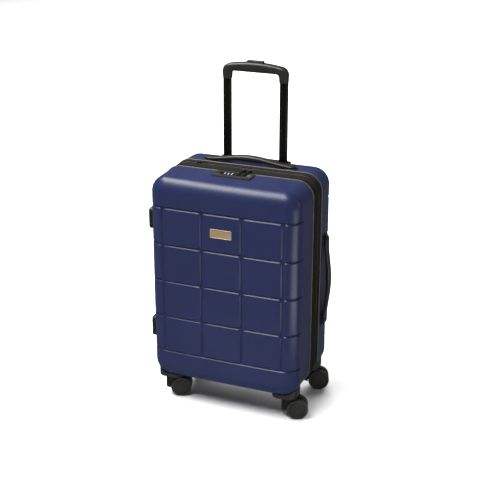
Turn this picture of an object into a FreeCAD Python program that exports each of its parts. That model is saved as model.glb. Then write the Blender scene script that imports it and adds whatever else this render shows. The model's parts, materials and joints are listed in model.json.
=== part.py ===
"""Cabin suitcase with two hard half shells, four twin-wheel casters and a telescopic handle.

Frame: millimetres, +Z up, front face towards -Y, origin on the floor under the middle of the case.
The lid (front half) hangs on a vertical hinge line at the left; the rear half carries the handle.
"""
import FreeCAD, Part
import os
import re
import Sketcher
from FreeCAD import Placement, Rotation, Vector

doc = FreeCAD.newDocument("Suitcase")

# ---------------------------------------------------------------- driving dimensions
DIMENSIONS = {
    # case
    "case_width": 353, "case_depth": 240, "shell_low": 62, "shell_tall": 485,
    "corner_radius": 38, "edge_radius": 32, "wall": 3,
    "lid_depth": 97, "band_depth": 60,
    # grooves pressed into both faces
    "groove_depth": 1.4, "groove_width": 5, "row_pitch": 87, "row_middle": 306,
    "column_pitch": 95.2, "groove_wrap": 40,
    # zip band, measured back from the lid edge
    "piping_proud": 1.5, "piping_width": 3, "zip_half": 11, "zip_gap": 0.4, "tape_thick": 2,
    # linings
    "lining_gap": 2, "lining_thick": 1.2, "rear_lining_y": 64,
    "elastic_long": 330, "elastic_wide": 24, "elastic_turn": 40, "buckle_long": 42, "buckle_tall": 34,
    # telescopic handle
    "tube_spacing": 135, "tube_y": 83, "outer_wide": 24, "outer_deep": 18, "outer_wall": 1.2,
    "middle_wide": 20.8, "middle_deep": 14.8, "inner_wide": 18, "inner_deep": 12, "tube_wall": 1,
    "outer_low": 72, "well_floor": 507, "middle_long": 275, "inner_low": 449, "inner_top": 745,
    "grip_wide": 155, "grip_deep": 20, "grip_top": 772, "grip_seam": 732, "grip_under": 750,
    "grip_arch": 9, "grip_leg": 21, "grip_corner": 22, "yoke_drop": 13, "well_clear": 1, "well_wall": 2,
    "flange_thick": 2, "flange_wide": 5, "foot_plate_over": 22, "foot_plate_deep": 26,
    "button_long": 40, "button_wide": 11, "button_proud": 3.5, "rod_radius": 2.2,
    # carrying handles
    "strap_long": 220, "strap_wide": 22, "strap_thick": 6, "strap_peak": 16, "strap_lift": 2.4,
    "post_radius": 3, "post_spacing": 196, "top_strap_y": 50, "side_strap_y": 64,
    "side_strap_z": 288, "mount_long": 28, "mount_over": 1.5,
    # lock
    "lock_left": -47, "lock_long": 90, "lock_front": -60, "lock_deep": 36.6, "lock_top": 549,
    "lock_tall": 16, "dial_radius": 7.5, "dial_wide": 5.6, "dial_pitch": 8, "dial_first": -22,
    "dial_y": -38, "dial_proud": 0.8, "key_radius": 4.5, "key_x": 33,
    # zip sliders
    "slider_first": 10, "slider_pitch": 13, "slider_wide": 9, "pull_long": 34, "pull_wide": 4.4,
    "pull_pivot_z": 550.9, "expansion_slider_x": -110,
    # casters
    "wheel_radius": 24.5, "wheel_wide": 12, "caster_x": 144.5, "caster_inset": 44, "trail": 22,
    "rest_turn": 20, "axle_radius": 3, "running_gap": 0.05, "web_half": 4.6, "wheel_gap": 0.5,
    "fork_radius": 14.5, "fork_top": 56, "stem_radius": 4, "fork_low": 21, "knuckle_radius": 7,
    "web_round": 21, "wheel_space": 0.9, "tyre_round": 2.4, "axle_round": 0.5, "axle_end": 1.5,
    # housings that hold the swivel stems
    "housing_inner": 33, "housing_outer": 25, "housing_wide": 56, "housing_tall": 34,
    "housing_corner": 18, "arm_start": 14, "arm_long": 64, "arm_wide": 22, "arm_tall": 14,
    "arm_corner": 8, "swivel_gap": 0.4,
    # small parts
    "plate_long": 50, "plate_tall": 20.5, "plate_thick": 1.5, "plate_z": 436.5,
    "foot_tall": 48, "foot_deep": 24, "foot_y": -71, "foot_out": 191.2, "foot_spacing": 266,
    "foot_middle": 303, "rear_foot_y": 64,
}

sheet = doc.addObject("Spreadsheet::Sheet", "Dimensions")
for row, (alias, value) in enumerate(DIMENSIONS.items(), start=1):
    sheet.set(f"A{row}", alias)
    sheet.set(f"B{row}", str(value))
    sheet.setAlias(f"B{row}", alias)
doc.recompute()

nodes = []          # the objects that are written out, in order


def dim(alias):
    return float(sheet.get(alias))


def formula(text):
    """Point every dimension name in a formula at its spreadsheet cell."""
    named = re.sub(r"[a-z_]+", lambda m: "Dimensions." + m.group()
                   if m.group() in DIMENSIONS else m.group(), str(text))
    return named


def bind(thing, prop, text):
    thing.setExpression(prop, formula(text))


def place(thing, x="0", y="0", z="0", axis=None, angle=0):
    """Bind the position; a turn in degrees about an axis is optional."""
    if axis is not None:
        thing.Placement = Placement(Vector(), Rotation(Vector(*axis), angle))
    for letter, text in (("x", x), ("y", y), ("z", z)):
        bind(thing, ".Placement.Base." + letter, text)
    return thing


def box(name, size, low):
    thing = doc.addObject("Part::Box", name)
    for prop, text in zip(("Length", "Width", "Height"), size):
        bind(thing, prop, text)
    return place(thing, *low)


ALONG = {"X": ((0, 1, 0), 90), "Y": ((1, 0, 0), -90), "Z": (None, 0)}


def cylinder(name, radius, length, base, along="Z"):
    thing = doc.addObject("Part::Cylinder", name)
    bind(thing, "Radius", radius)
    bind(thing, "Height", length)
    return place(thing, *base, *ALONG[along])


def fuse(name, *parts):
    thing = doc.addObject("Part::MultiFuse", name)
    thing.Shapes = list(parts)
    return thing


def common(name, first, second):
    thing = doc.addObject("Part::MultiCommon", name)
    thing.Shapes = [first, second]
    return thing


def cut(name, base, *tools):
    thing = doc.addObject("Part::Cut", name)
    thing.Base = base
    thing.Tool = tools[0] if len(tools) == 1 else fuse(name + "_tools", *tools)
    return thing


def rounded(name, base, choose, radius):
    """Round the edges that choose(edge) accepts."""
    doc.recompute()
    thing = doc.addObject("Part::Fillet", name)
    thing.Base = base
    thing.Edges = [(i, radius, radius) for i, edge in enumerate(base.Shape.Edges, start=1)
                   if choose(edge)]
    return thing


def runs_along(edge, letter):
    """True for a straight edge parallel to the named axis."""
    ends = [v.Point for v in edge.Vertexes]
    if len(ends) != 2 or edge.Curve.TypeId != "Part::GeomLine":
        return False
    step = ends[1] - ends[0]
    return abs(getattr(step.normalize(), letter)) > 0.999


def node(name, thing):
    thing.Label = name
    nodes.append(thing)
    return thing


# ---------------------------------------------------------------- PartDesign blocks
ROLE = {"X": "YZ_Plane", "Y": "XZ_Plane", "Z": "XY_Plane"}


def block(name, along, size, low, corner=None, edge=None, edge_at="low"):
    """A padded rectangle with its four long edges rounded, and one or both end loops too."""
    body = doc.addObject("PartDesign::Body", name)
    sketch = body.newObject("Sketcher::SketchObject", name + "_sketch")
    plane = next(f for f in body.Origin.OriginFeatures if f.Role == ROLE[along])
    sketch.AttachmentSupport = [(plane, "")]
    sketch.MapMode = "FlatFace"
    corners = [Vector(-50, -25), Vector(50, -25), Vector(50, 25), Vector(-50, 25)]
    for i in range(4):
        sketch.addGeometry(Part.LineSegment(corners[i], corners[(i + 1) % 4]))
    for i in range(4):
        sketch.addConstraint(Sketcher.Constraint("Coincident", i, 2, (i + 1) % 4, 1))
    for i in (0, 2):
        sketch.addConstraint(Sketcher.Constraint("Horizontal", i))
    for i in (1, 3):
        sketch.addConstraint(Sketcher.Constraint("Vertical", i))
    sketch.addConstraint(Sketcher.Constraint("Symmetric", 0, 1, 2, 1, -1, 1))
    wide = sketch.addConstraint(Sketcher.Constraint("DistanceX", 0, 1, 0, 2, 100))
    tall = sketch.addConstraint(Sketcher.Constraint("DistanceY", 1, 1, 1, 2, 50))
    sketch.renameConstraint(wide, "wide")
    sketch.renameConstraint(tall, "tall")
    order = {"X": (1, 2, 0), "Y": (0, 2, 1), "Z": (0, 1, 2)}[along]
    bind(sketch, "Constraints.wide", size[order[0]])
    bind(sketch, "Constraints.tall", size[order[1]])
    pad = body.newObject("PartDesign::Pad", name + "_pad")
    pad.Profile = sketch
    bind(pad, "Length", size[order[2]])
    body.Tip = pad
    at = list(low)
    for i in order[:2]:
        at[i] = f"({low[i]}) + ({size[i]}) / 2"
    if along == "Y":                       # a pad on the XZ plane grows towards -Y
        at[1] = f"({low[1]}) + ({size[1]})"
    letter = along.lower()
    if corner is not None:
        doc.recompute()
        names = [f"Edge{i}" for i, e in enumerate(pad.Shape.Edges, start=1)
                 if runs_along(e, letter)]
        fillet = body.newObject("PartDesign::Fillet", name + "_corners")
        fillet.Base = (pad, names)
        bind(fillet, "Radius", corner)
        body.Tip = fillet
        pad = fillet
    if edge is not None:
        doc.recompute()
        box_ = pad.Shape.BoundBox
        low_at, high_at = getattr(box_, letter.upper() + "Min"), getattr(box_, letter.upper() + "Max")
        wanted = {"low": [low_at], "high": [high_at], "both": [low_at, high_at]}[edge_at]
        names = []
        for i, e in enumerate(pad.Shape.Edges, start=1):
            reach = [getattr(v.Point, letter) for v in e.Vertexes]
            if any(max(abs(r - w) for r in reach) < 1e-6 for w in wanted):
                names.append(f"Edge{i}")
        fillet = body.newObject("PartDesign::Fillet", name + "_edge")
        fillet.Base = (pad, names)
        bind(fillet, "Radius", edge)
        body.Tip = fillet
    return place(body, *at)


# ---------------------------------------------------------------- half shells
LID_END = "(-case_depth / 2 + lid_depth)"            # where the lid shell stops
REAR_START = "(-case_depth / 2 + lid_depth + band_depth)"


def half_block(name, inset, face, start, depth, extra="0"):
    """The rounded outline of one half, shrunk by inset; face says which end is closed."""
    size = (f"case_width - 2 * ({inset})", f"({depth}) - ({inset}) + ({extra})",
            f"shell_tall - 2 * ({inset})")
    y = f"({start}) + ({inset})" if face == "low" else f"({start}) - ({extra})"
    return block(name, "Y", size, (f"-case_width / 2 + ({inset})", y, f"shell_low + ({inset})"),
                 corner=f"corner_radius - ({inset})", edge=f"edge_radius - ({inset})", edge_at=face)


def groove_zone(name, face):
    """Slabs where the two faces are grooved: five rows that wrap round the sides, four columns."""
    slabs = []
    low = "-case_depth / 2 - 1" if face == "low" else "case_depth / 2 - groove_wrap"
    for row_ in range(-2, 3):
        slabs.append(box(f"{name}_row{row_ + 3}",
                         ("case_width + 2", "groove_wrap + 1", "groove_width"),
                         ("-case_width / 2 - 1", low,
                          f"row_middle + ({row_}) * row_pitch - groove_width / 2")))
    column_low = "-case_depth / 2 - 1" if face == "low" else "case_depth / 2 - groove_depth"
    for i, place_ in enumerate((-1.5, -0.5, 0.5, 1.5)):
        slabs.append(box(f"{name}_column{i + 1}",
                         ("groove_width", "groove_depth + 1", "4 * row_pitch"),
                         (f"({place_}) * column_pitch - groove_width / 2", column_low,
                          "row_middle - 2 * row_pitch")))
    return fuse(name, *slabs)


def half_shell(prefix, face, start, depth):
    """Outline minus cavity minus pressed grooves; returns the shell and its full outline."""
    outline = half_block(prefix + "_outline", "0", face, start, depth)
    cavity = half_block(prefix + "_cavity", "wall", face, start, depth, extra="1")
    core = half_block(prefix + "_core", "groove_depth", face, start, depth, extra="1")
    keep = cut(prefix + "_skin", groove_zone(prefix + "_zone", face), core)
    shell = cut(prefix + "_pressed", outline, cavity, keep)
    return shell, outline


lid_shell, lid_outline = half_shell("lid", "low", "-case_depth / 2", "lid_depth")
rear_depth = "case_depth - lid_depth - band_depth"
back_shell, rear_outline = half_shell("rear", "high", REAR_START, rear_depth)


# ---------------------------------------------------------------- lock and plate recesses
def lock_block(name, clear="0"):
    return block(name, "Z", (f"lock_long + 2 * ({clear})", f"lock_deep + 2 * ({clear})", "lock_tall"),
                 (f"lock_left - ({clear})", f"lock_front - ({clear})", "lock_top - lock_tall"),
                 corner=f"3 + ({clear})")


def plate_block(name):
    return block(name, "Y", ("plate_long", "plate_thick", "plate_tall"),
                 ("-plate_long / 2", "-case_depth / 2", "plate_z - plate_tall / 2"), corner=1.5)


node("front_shell", cut("front_shell", lid_shell, lock_block("lock_recess"),
                        plate_block("plate_recess")))

# ---------------------------------------------------------------- well for the folded handle
well_size = ("grip_wide + 2 * well_clear", "grip_deep + 2 * well_clear")


def well_block(name, grow, low, high, corner):
    """A block round the handle well, grown sideways."""
    return block(name, "Z", (f"{well_size[0]} + 2 * ({grow})", f"{well_size[1]} + 2 * ({grow})",
                             f"({high}) - ({low})"),
                 (f"-({well_size[0]}) / 2 - ({grow})",
                  f"tube_y - ({well_size[1]}) / 2 - ({grow})", low), corner=corner)


shell_top = "(shell_low + shell_tall)"
well_body = fuse("well_body", well_block("well_walls", "well_wall", "well_floor", shell_top, 5),
                 well_block("well_flange", "flange_wide", f"{shell_top} - 0.5",
                            f"{shell_top} + flange_thick", 8))
well_hole = well_block("well_hole", "0", "well_floor + 2", f"{shell_top} + 10", 2)


def tube_at(name, side, wide, deep, low, high, corner=3):
    return block(name, "Z", (wide, deep, f"({high}) - ({low})"),
                 (f"({side}) * tube_spacing / 2 - ({wide}) / 2", f"tube_y - ({deep}) / 2", low),
                 corner=corner)


tube_holes = [tube_at(f"well_tube_hole_{i}", side, "middle_wide + 0.8", "middle_deep + 0.8",
                      "well_floor - 5", "well_floor + 5", 2.5)
              for i, side in enumerate((-1, 1))]
node("handle_well", cut("handle_well", well_body, well_hole, *tube_holes))
node("rear_shell", cut("rear_shell", back_shell,
                       well_block("well_recess", "well_wall", "well_floor", f"{shell_top} + 10", 5),
                       well_block("flange_recess", "flange_wide", f"{shell_top} - 0.5",
                                  f"{shell_top} + 10", 8)))


# ---------------------------------------------------------------- zip band
def ring(name, y, width, grow, thick):
    """A closed rounded frame round the case, from y backwards."""
    outer = block(name + "_outer", "Y",
                  (f"case_width + 2 * ({grow})", width, f"shell_tall + 2 * ({grow})"),
                  (f"-case_width / 2 - ({grow})", y, f"shell_low - ({grow})"),
                  corner=f"corner_radius + ({grow})")
    inner = block(name + "_inner", "Y",
                  (f"case_width + 2 * ({grow}) - 2 * ({thick})", f"({width}) + 2",
                   f"shell_tall + 2 * ({grow}) - 2 * ({thick})"),
                  (f"-case_width / 2 - ({grow}) + ({thick})", f"({y}) - 1",
                   f"shell_low - ({grow}) + ({thick})"),
                  corner=f"corner_radius + ({grow}) - ({thick})")
    return node(name, cut(name, outer, inner))


ring("front_piping", LID_END, "piping_width", "piping_proud", "piping_proud + wall")
ring("front_zip_tape", f"{LID_END} + piping_width", "zip_half", "-0.5", "tape_thick")
ring("rear_zip_tape", f"{LID_END} + piping_width + zip_half + zip_gap", "zip_half", "-0.5",
     "tape_thick")
GUSSET = f"{LID_END} + piping_width + 2 * zip_half + zip_gap"
ring("expansion_gusset", GUSSET,
     "band_depth - 2 * piping_width - 2 * zip_half - zip_gap", "0", "wall")
ring("rear_piping", f"{REAR_START} - piping_width", "piping_width", "piping_proud",
     "piping_proud + wall")


# ---------------------------------------------------------------- linings
def lining(name, face, y, depth, *tools):
    """A thin fabric tray that lines one half."""
    off = "wall + lining_gap"
    parts = []
    for part, inset, more in (("outer", off, "0"), ("inner", f"{off} + lining_thick", "2")):
        end = "0" if part == "outer" else "lining_thick"
        low = f"({y}) + ({end})" if face == "low" else f"({y}) - ({more})"
        parts.append(block(f"{name}_{part}", "Y",
                           (f"case_width - 2 * ({inset})", f"({depth}) - ({end}) + ({more})",
                            f"shell_tall - 2 * ({inset})"),
                           (f"-case_width / 2 + ({inset})", low, f"shell_low + ({inset})"),
                           corner=f"corner_radius - ({inset})",
                           edge=f"edge_radius - ({inset})" if face == "low" else None,
                           edge_at=face))
    return node(name, cut(name, parts[0], parts[1], *tools))


lining("front_lining", "low", "-case_depth / 2 + wall + 1",
       "lid_depth + piping_width + zip_half - wall - 1.5", lock_block("lining_lock_gap", "1"))
lining("rear_lining", "high", f"{LID_END} + piping_width + zip_half + zip_gap + 0.5",
       f"rear_lining_y - ({LID_END} + piping_width + zip_half + zip_gap + 0.5)")


def strap_band(name, turn, layer):
    """One flat elastic strap across the packing space, lying on the rear lining."""
    rear = f"rear_lining_y - lining_thick - {layer}"
    band = block(name, "Y", ("elastic_long", 1, "elastic_wide"),
                 ("-elastic_long / 2", f"{rear} - 1", "row_middle - elastic_wide / 2"))
    band.Placement = Placement(Vector(), Rotation(Vector(0, 1, 0), turn))
    return place(band, "0", rear, "row_middle")


buckle = block("strap_buckle_block", "Y", ("buckle_long", 3, "buckle_tall"),
               ("-buckle_long / 2", "rear_lining_y - lining_thick - 5.4",
                "row_middle - buckle_tall / 2"), corner=6)
node("packing_straps", fuse("packing_straps",
                            strap_band("strap_rising", dim("elastic_turn"), 0.4),
                            strap_band("strap_falling", -dim("elastic_turn"), 1.4), buckle))


# ---------------------------------------------------------------- telescopic handle
def tube(name, side, wide, deep, wall, low, high):
    outside = tube_at(name + "_outside", side, wide, deep, low, high)
    inside = tube_at(name + "_inside", side, f"{wide} - 2 * {wall}", f"{deep} - 2 * {wall}",
                     f"({low}) - 1", f"({high}) + 1", 2)
    return node(name, cut(name, outside, inside))


SIDES = (("left", -1), ("right", 1))
for word, side in SIDES:
    tube(f"outer_tube_{word}", side, "outer_wide", "outer_deep", "outer_wall",
         "outer_low", "well_floor")
for word, side in SIDES:
    tube(f"middle_tube_{word}", side, "middle_wide", "middle_deep", "tube_wall",
         "well_floor + 2 - middle_long", "well_floor + 2")
for word, side in SIDES:
    tube(f"inner_tube_{word}", side, "inner_wide", "inner_deep", "tube_wall",
         "inner_low", "inner_top")

foot_plate = block("foot_plate", "Z",
                   ("tube_spacing + 2 * foot_plate_over", "foot_plate_deep",
                    "outer_low - shell_low - wall"),
                   ("-tube_spacing / 2 - foot_plate_over", "tube_y - foot_plate_deep / 2",
                    "shell_low + wall"), corner=6)
node("tube_foot", cut("tube_foot", foot_plate, back_shell))

grip_block = block("grip_block", "Y", ("grip_wide", "grip_deep", "grip_top - grip_seam"),
                   ("-grip_wide / 2", "tube_y - grip_deep / 2", "grip_seam"))
arch_radius = "(((grip_wide / 2) ^ 2 + grip_arch ^ 2) / (2 * grip_arch))"
grip_round = rounded("grip_round", grip_block,
                     lambda e: runs_along(e, "y") and e.BoundBox.ZMin > dim("grip_top") - 1,
                     dim("grip_corner"))
grip_arch_cut = cylinder("grip_arch_cylinder", arch_radius, "grip_deep + 2",
                         ("0", "tube_y - grip_deep / 2 - 1", f"grip_top - {arch_radius}"), "Y")
grip_bar = common("grip_bar", grip_round, grip_arch_cut)
grip_opening = block("grip_opening", "Y",
                     ("grip_wide - 2 * grip_leg", "grip_deep + 2", "grip_under - grip_seam + 20"),
                     ("-grip_wide / 2 + grip_leg", "tube_y - grip_deep / 2 - 1", "grip_seam - 20"),
                     corner=8)
sockets = [tube_at(f"grip_socket_{word}", side, "inner_wide", "inner_deep", "grip_seam - 5",
                   "inner_top") for word, side in SIDES]
rod_ways = [cylinder(f"rod_way_{word}", "rod_radius + 0.6", "grip_top - yoke_drop - inner_top",
                     (f"{side} * tube_spacing / 2", "tube_y", "inner_top - 2"))
            for word, side in SIDES]
yoke_way = block("yoke_way", "Z", ("tube_spacing + 7", 7, 8.1),
                 ("-tube_spacing / 2 - 3.5", "tube_y - 3.5", "grip_top - yoke_drop - 3.5"),
                 corner=3)
button_way = block("button_way", "Z", ("button_long + 0.8", "button_wide + 0.8", 30),
                   ("-button_long / 2 - 0.4", "tube_y - button_wide / 2 - 0.4",
                    "grip_top - yoke_drop + 0.5"), corner=3.4)
node("trolley_grip", cut("trolley_grip", grip_bar, grip_opening, *sockets, *rod_ways, yoke_way,
                         button_way))
node("grip_button", block("grip_button", "Z",
                          ("button_long", "button_wide", "yoke_drop - 4.4 + button_proud"),
                          ("-button_long / 2", "tube_y - button_wide / 2",
                           "grip_top - yoke_drop + 4.4"), corner=3))
yoke = block("rod_yoke", "Z", ("tube_spacing + 5", 5, 4),
             ("-tube_spacing / 2 - 2.5", "tube_y - 2.5", "grip_top - yoke_drop"), corner=2)
rods = [cylinder(f"push_rod_{word}", "rod_radius", "grip_top - yoke_drop + 1 - inner_low - 8",
                 (f"{side} * tube_spacing / 2", "tube_y", "inner_low + 8")) for word, side in SIDES]
node("push_rods", fuse("push_rods", yoke, *rods))


# ---------------------------------------------------------------- carrying handles
def carry_strap(name, x, y, z, turned):
    """An arched strap; its two flat ends stand on posts. Local +Z points away from the shell."""
    top_radius = "(((strap_long / 2) ^ 2 + (strap_peak - strap_lift - strap_thick) ^ 2)" \
                 " / (2 * (strap_peak - strap_lift - strap_thick)))"
    under_rise = "(strap_peak - strap_lift - strap_thick - 0.4)"
    under_radius = f"(((strap_long / 2 - 28) ^ 2 + {under_rise} ^ 2) / (2 * {under_rise}))"
    raw = block(name + "_raw", "Z", ("strap_long", "strap_wide", "strap_peak - strap_lift"),
                ("-strap_long / 2", "-strap_wide / 2", "strap_lift"), corner=7)
    crown = cylinder(name + "_crown", top_radius, "strap_wide + 2",
                     ("0", "-strap_wide / 2 - 1", f"strap_peak - {top_radius}"), "Y")
    arch = cylinder(name + "_arch", under_radius, "strap_wide + 2",
                    ("0", "-strap_wide / 2 - 1",
                     f"strap_lift + {under_rise} - {under_radius}"), "Y")
    holes = [cylinder(f"{name}_post_hole_{word}", "post_radius + 0.3", "4.6",
                      (f"{side} * post_spacing / 2", "0", "strap_lift - 1"))
             for word, side in SIDES]
    strap = cut(name, common(name + "_bar", raw, crown), arch, *holes)
    mounts = []
    for word, side in SIDES:
        mounts.append(block(f"{name}_base_{word}", "Z",
                            ("mount_long", "strap_wide + 2 * mount_over", "strap_lift - 0.4"),
                            (f"{side} * post_spacing / 2 - mount_long / 2",
                             "-strap_wide / 2 - mount_over", "0"), corner=6))
        mounts.append(cylinder(f"{name}_post_{word}", "post_radius", "strap_lift + 3.2",
                               (f"{side} * post_spacing / 2", "0", "0")))
    base = fuse(name + "_mount_set", *mounts)
    for thing in (strap, base):
        if turned:
            thing.Placement = Placement(Vector(), Rotation(Vector(0, 1, 0), 90))
        place(thing, x, y, z)
    return strap, base


strap, base = carry_strap("top_strap", "0", "top_strap_y", shell_top, False)
node("top_handle", strap)
node("top_handle_mounts", base)
strap, base = carry_strap("side_strap", "case_width / 2", "side_strap_y", "side_strap_z", True)
node("side_handle", strap)
node("side_handle_mounts", base)

# ---------------------------------------------------------------- lock
dial_slots = [box(f"dial_slot_{i + 1}", ("dial_wide + 0.8", "2 * dial_radius + 1", "dial_radius * 2"),
                  (f"dial_first + {i} * dial_pitch - dial_wide / 2 - 0.4",
                   "dial_y - dial_radius - 0.5", "lock_top + dial_proud - 2 * dial_radius - 0.3"))
              for i in range(3)]
button_slot = block("lock_button_slot", "Z", (16, 16, 8), (-44, "dial_y - 8", "lock_top - 4.2"),
                    corner=2)
key_bore = cylinder("key_bore", "key_radius + running_gap", 10,
                    ("key_x", "dial_y", "lock_top - 6.2"))
pull_slots = [block(f"pull_slot_{i + 1}", "Z", (6, 9, 8),
                    (f"slider_first + {i} * slider_pitch - 3", "dial_y - 4.5", "lock_top - 5"),
                    corner=1.5) for i in range(2)]
node("lock_housing", cut("lock_housing", lock_block("lock_solid"), *dial_slots, button_slot,
                         key_bore, *pull_slots))
for i in range(3):
    wheel = cylinder(f"dial_body_{i + 1}", "dial_radius", "dial_wide",
                     (f"dial_first + {i} * dial_pitch - dial_wide / 2", "dial_y",
                      "lock_top + dial_proud - dial_radius"), "X")
    node(f"lock_dial_{i + 1}", rounded(f"lock_dial_{i + 1}", wheel,
                                       lambda e: e.Curve.TypeId == "Part::GeomCircle", 0.5))
node("lock_button", block("lock_button", "Z", (11, 15, 4.6), (-43.4, "dial_y - 7.5", "lock_top - 4"),
                          corner=1.6))
key_body = cylinder("key_body", "key_radius", "6.6", ("key_x", "dial_y", "lock_top - 6"))
key_way = box("key_way", (1.2, 5, 5), ("key_x - 0.6", "dial_y - 2.5", "lock_top - 3"))
node("key_cylinder", cut("key_cylinder", key_body, key_way))
node("name_plate", plate_block("name_plate"))


# ---------------------------------------------------------------- zip sliders and their pulls
def slider(name, x, y):
    """Slider plate on the tape with two ears and the pin of the pull."""
    plate = block(name + "_plate", "Z", ("slider_wide", 10, 1.8),
                  (f"({x}) - slider_wide / 2", f"({y}) - 5", f"{shell_top} - 0.2"), corner=3)
    ears = [box(f"{name}_ear_{word}", (1.2, 4, f"pull_pivot_z + 2 - {shell_top} - 0.6"),
                (f"({x}) + {side} * 3.1 - 0.6", f"({y}) - 2", f"{shell_top} + 0.6"))
            for word, side in SIDES]
    pin = cylinder(name + "_pin", 0.9, 6.2, (f"({x}) - 3.1", y, "pull_pivot_z"), "X")
    return node(name, fuse(name, plate, *ears, pin))


def pull(name, x, y):
    """Pull tab lying forward over the lock, with an eye round the slider's pin."""
    eye = cylinder(name + "_eye", 1.9, "pull_wide", (f"({x}) - pull_wide / 2", y, "pull_pivot_z"),
                   "X")
    tab = block(name + "_tab", "Z", ("pull_wide", "pull_long", 1.3),
                (f"({x}) - pull_wide / 2", f"({y}) - pull_long - 1", "pull_pivot_z - 0.9"),
                corner=1.2)
    bore = cylinder(name + "_bore", "0.9 + running_gap", 8, (f"({x}) - 4", y, "pull_pivot_z"), "X")
    return node(name, cut(name, fuse(name + "_solid", eye, tab), bore))


zip_line = f"({LID_END} + piping_width + zip_half + zip_gap / 2)"
for i, word in enumerate(("left", "right")):
    slider(f"zip_slider_{word}", f"slider_first + {i} * slider_pitch", zip_line)
    pull(f"zip_pull_{word}", f"slider_first + {i} * slider_pitch", zip_line)
exp_y = f"({GUSSET} + 16)"
exp_plate = block("exp_plate", "Z", (10, 9, 2.4),
                  ("expansion_slider_x - 5", f"{exp_y} - 4.5", f"{shell_top} + 0.3"), corner=3)
exp_tab = block("exp_tab", "Z", (22, 4.4, 1.5),
                ("expansion_slider_x - 2", f"{exp_y} - 2.2", f"{shell_top} + 2.7"), corner=1.2)
node("expansion_slider", fuse("expansion_slider", exp_plate, exp_tab))


# ---------------------------------------------------------------- casters
def local_caster(prefix):
    """Swivel fork, axle and two wheels; local +X is the trailing direction."""
    boss = cylinder(prefix + "_boss", "fork_radius", "fork_top - fork_low", ("0", "0", "fork_low"))
    web = box(prefix + "_web",
              ("trail", "2 * web_half", "fork_top - wheel_radius + knuckle_radius"),
              ("0", "-web_half", "wheel_radius - knuckle_radius"))
    knuckle = cylinder(prefix + "_knuckle", "knuckle_radius", "2 * web_half",
                       ("trail", "-web_half", "wheel_radius"), "Y")
    stem = cylinder(prefix + "_stem", "stem_radius", 5.4, ("0", "0", "fork_top - 0.4"))
    clearances = [cylinder(f"{prefix}_wheel_space_{word}", "wheel_radius + wheel_space", 20,
                           ("trail", "web_half" if side > 0 else "-web_half - 20", "wheel_radius"),
                           "Y") for word, side in SIDES]
    bore = cylinder(prefix + "_axle_bore", "axle_radius", 30, ("trail", "-15", "wheel_radius"), "Y")
    trimmed = cut(prefix + "_boss_trimmed", boss, *clearances)
    web_end = cylinder(prefix + "_web_end", "web_round", 40, ("trail / 2 - 4", "0", "10"))
    body = fuse(prefix + "_fork_solid", trimmed, common(prefix + "_web_round", web, web_end),
                knuckle, stem)
    fork = cut(prefix + "_fork", body, bore)
    rod = cylinder(prefix + "_axle_rod", "axle_radius",
                   "2 * (web_half + wheel_gap + wheel_wide - axle_end)",
                   ("trail", "-(web_half + wheel_gap + wheel_wide - axle_end)", "wheel_radius"), "Y")
    axle = rounded(prefix + "_axle", rod, lambda e: e.Curve.TypeId == "Part::GeomCircle",
                   dim("axle_round"))
    wheels = []
    for word, side in SIDES:
        near = "web_half + wheel_gap" if side > 0 else "-web_half - wheel_gap - wheel_wide"
        disc = cylinder(f"{prefix}_disc_{word}", "wheel_radius", "wheel_wide",
                        ("trail", near, "wheel_radius"), "Y")
        tyre = rounded(f"{prefix}_tyre_{word}", disc,
                       lambda e: e.Curve.TypeId == "Part::GeomCircle", dim("tyre_round"))
        outer = "web_half + wheel_gap + wheel_wide - 1" if side > 0 \
            else "-web_half - wheel_gap - wheel_wide"
        rim = cut(f"{prefix}_rim_{word}",
                  cylinder(f"{prefix}_rim_out_{word}", "0.72 * wheel_radius", 1,
                           ("trail", outer, "wheel_radius"), "Y"),
                  cylinder(f"{prefix}_rim_in_{word}", "0.66 * wheel_radius", 1,
                           ("trail", outer, "wheel_radius"), "Y"))
        start = "web_half - 1" if side > 0 else "-web_half - wheel_gap - wheel_wide + 1.4"
        hole = cylinder(f"{prefix}_bore_{word}", "axle_radius + running_gap",
                        "wheel_wide + wheel_gap - 0.4", ("trail", start, "wheel_radius"), "Y")
        wheels.append(cut(f"{prefix}_wheel_{word}", tyre, rim, hole))
    return fork, axle, wheels


def housing(name, side, face, outline):
    """Corner housing under the shell: it follows the rounded corner and holds the swivel stem."""
    y_mid = "-case_depth / 2 + caster_inset" if face == "low" else "case_depth / 2 - caster_inset"
    x_mid = f"{side} * caster_x"
    low = "fork_top + swivel_gap"
    foot = block(name + "_foot", "Z",
                 ("housing_inner + housing_outer", "housing_wide", "housing_tall"),
                 (f"{x_mid} - {'housing_inner' if side > 0 else 'housing_outer'}",
                  f"{y_mid} - housing_wide / 2", low), corner="housing_corner")
    arm_low = "- arm_start - arm_long" if side > 0 else "+ arm_start"
    arm = block(name + "_arm", "Z", ("arm_long", "arm_wide", "arm_tall"),
                (f"{x_mid} {arm_low}", f"{y_mid} - arm_wide / 2", f"{low} + 2"),
                corner="arm_corner")
    bore = cylinder(name + "_bore", "stem_radius + running_gap", 8, (x_mid, y_mid, f"{low} - 1"))
    return cut(name, fuse(name + "_solid", foot, arm), outline, bore)


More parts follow.
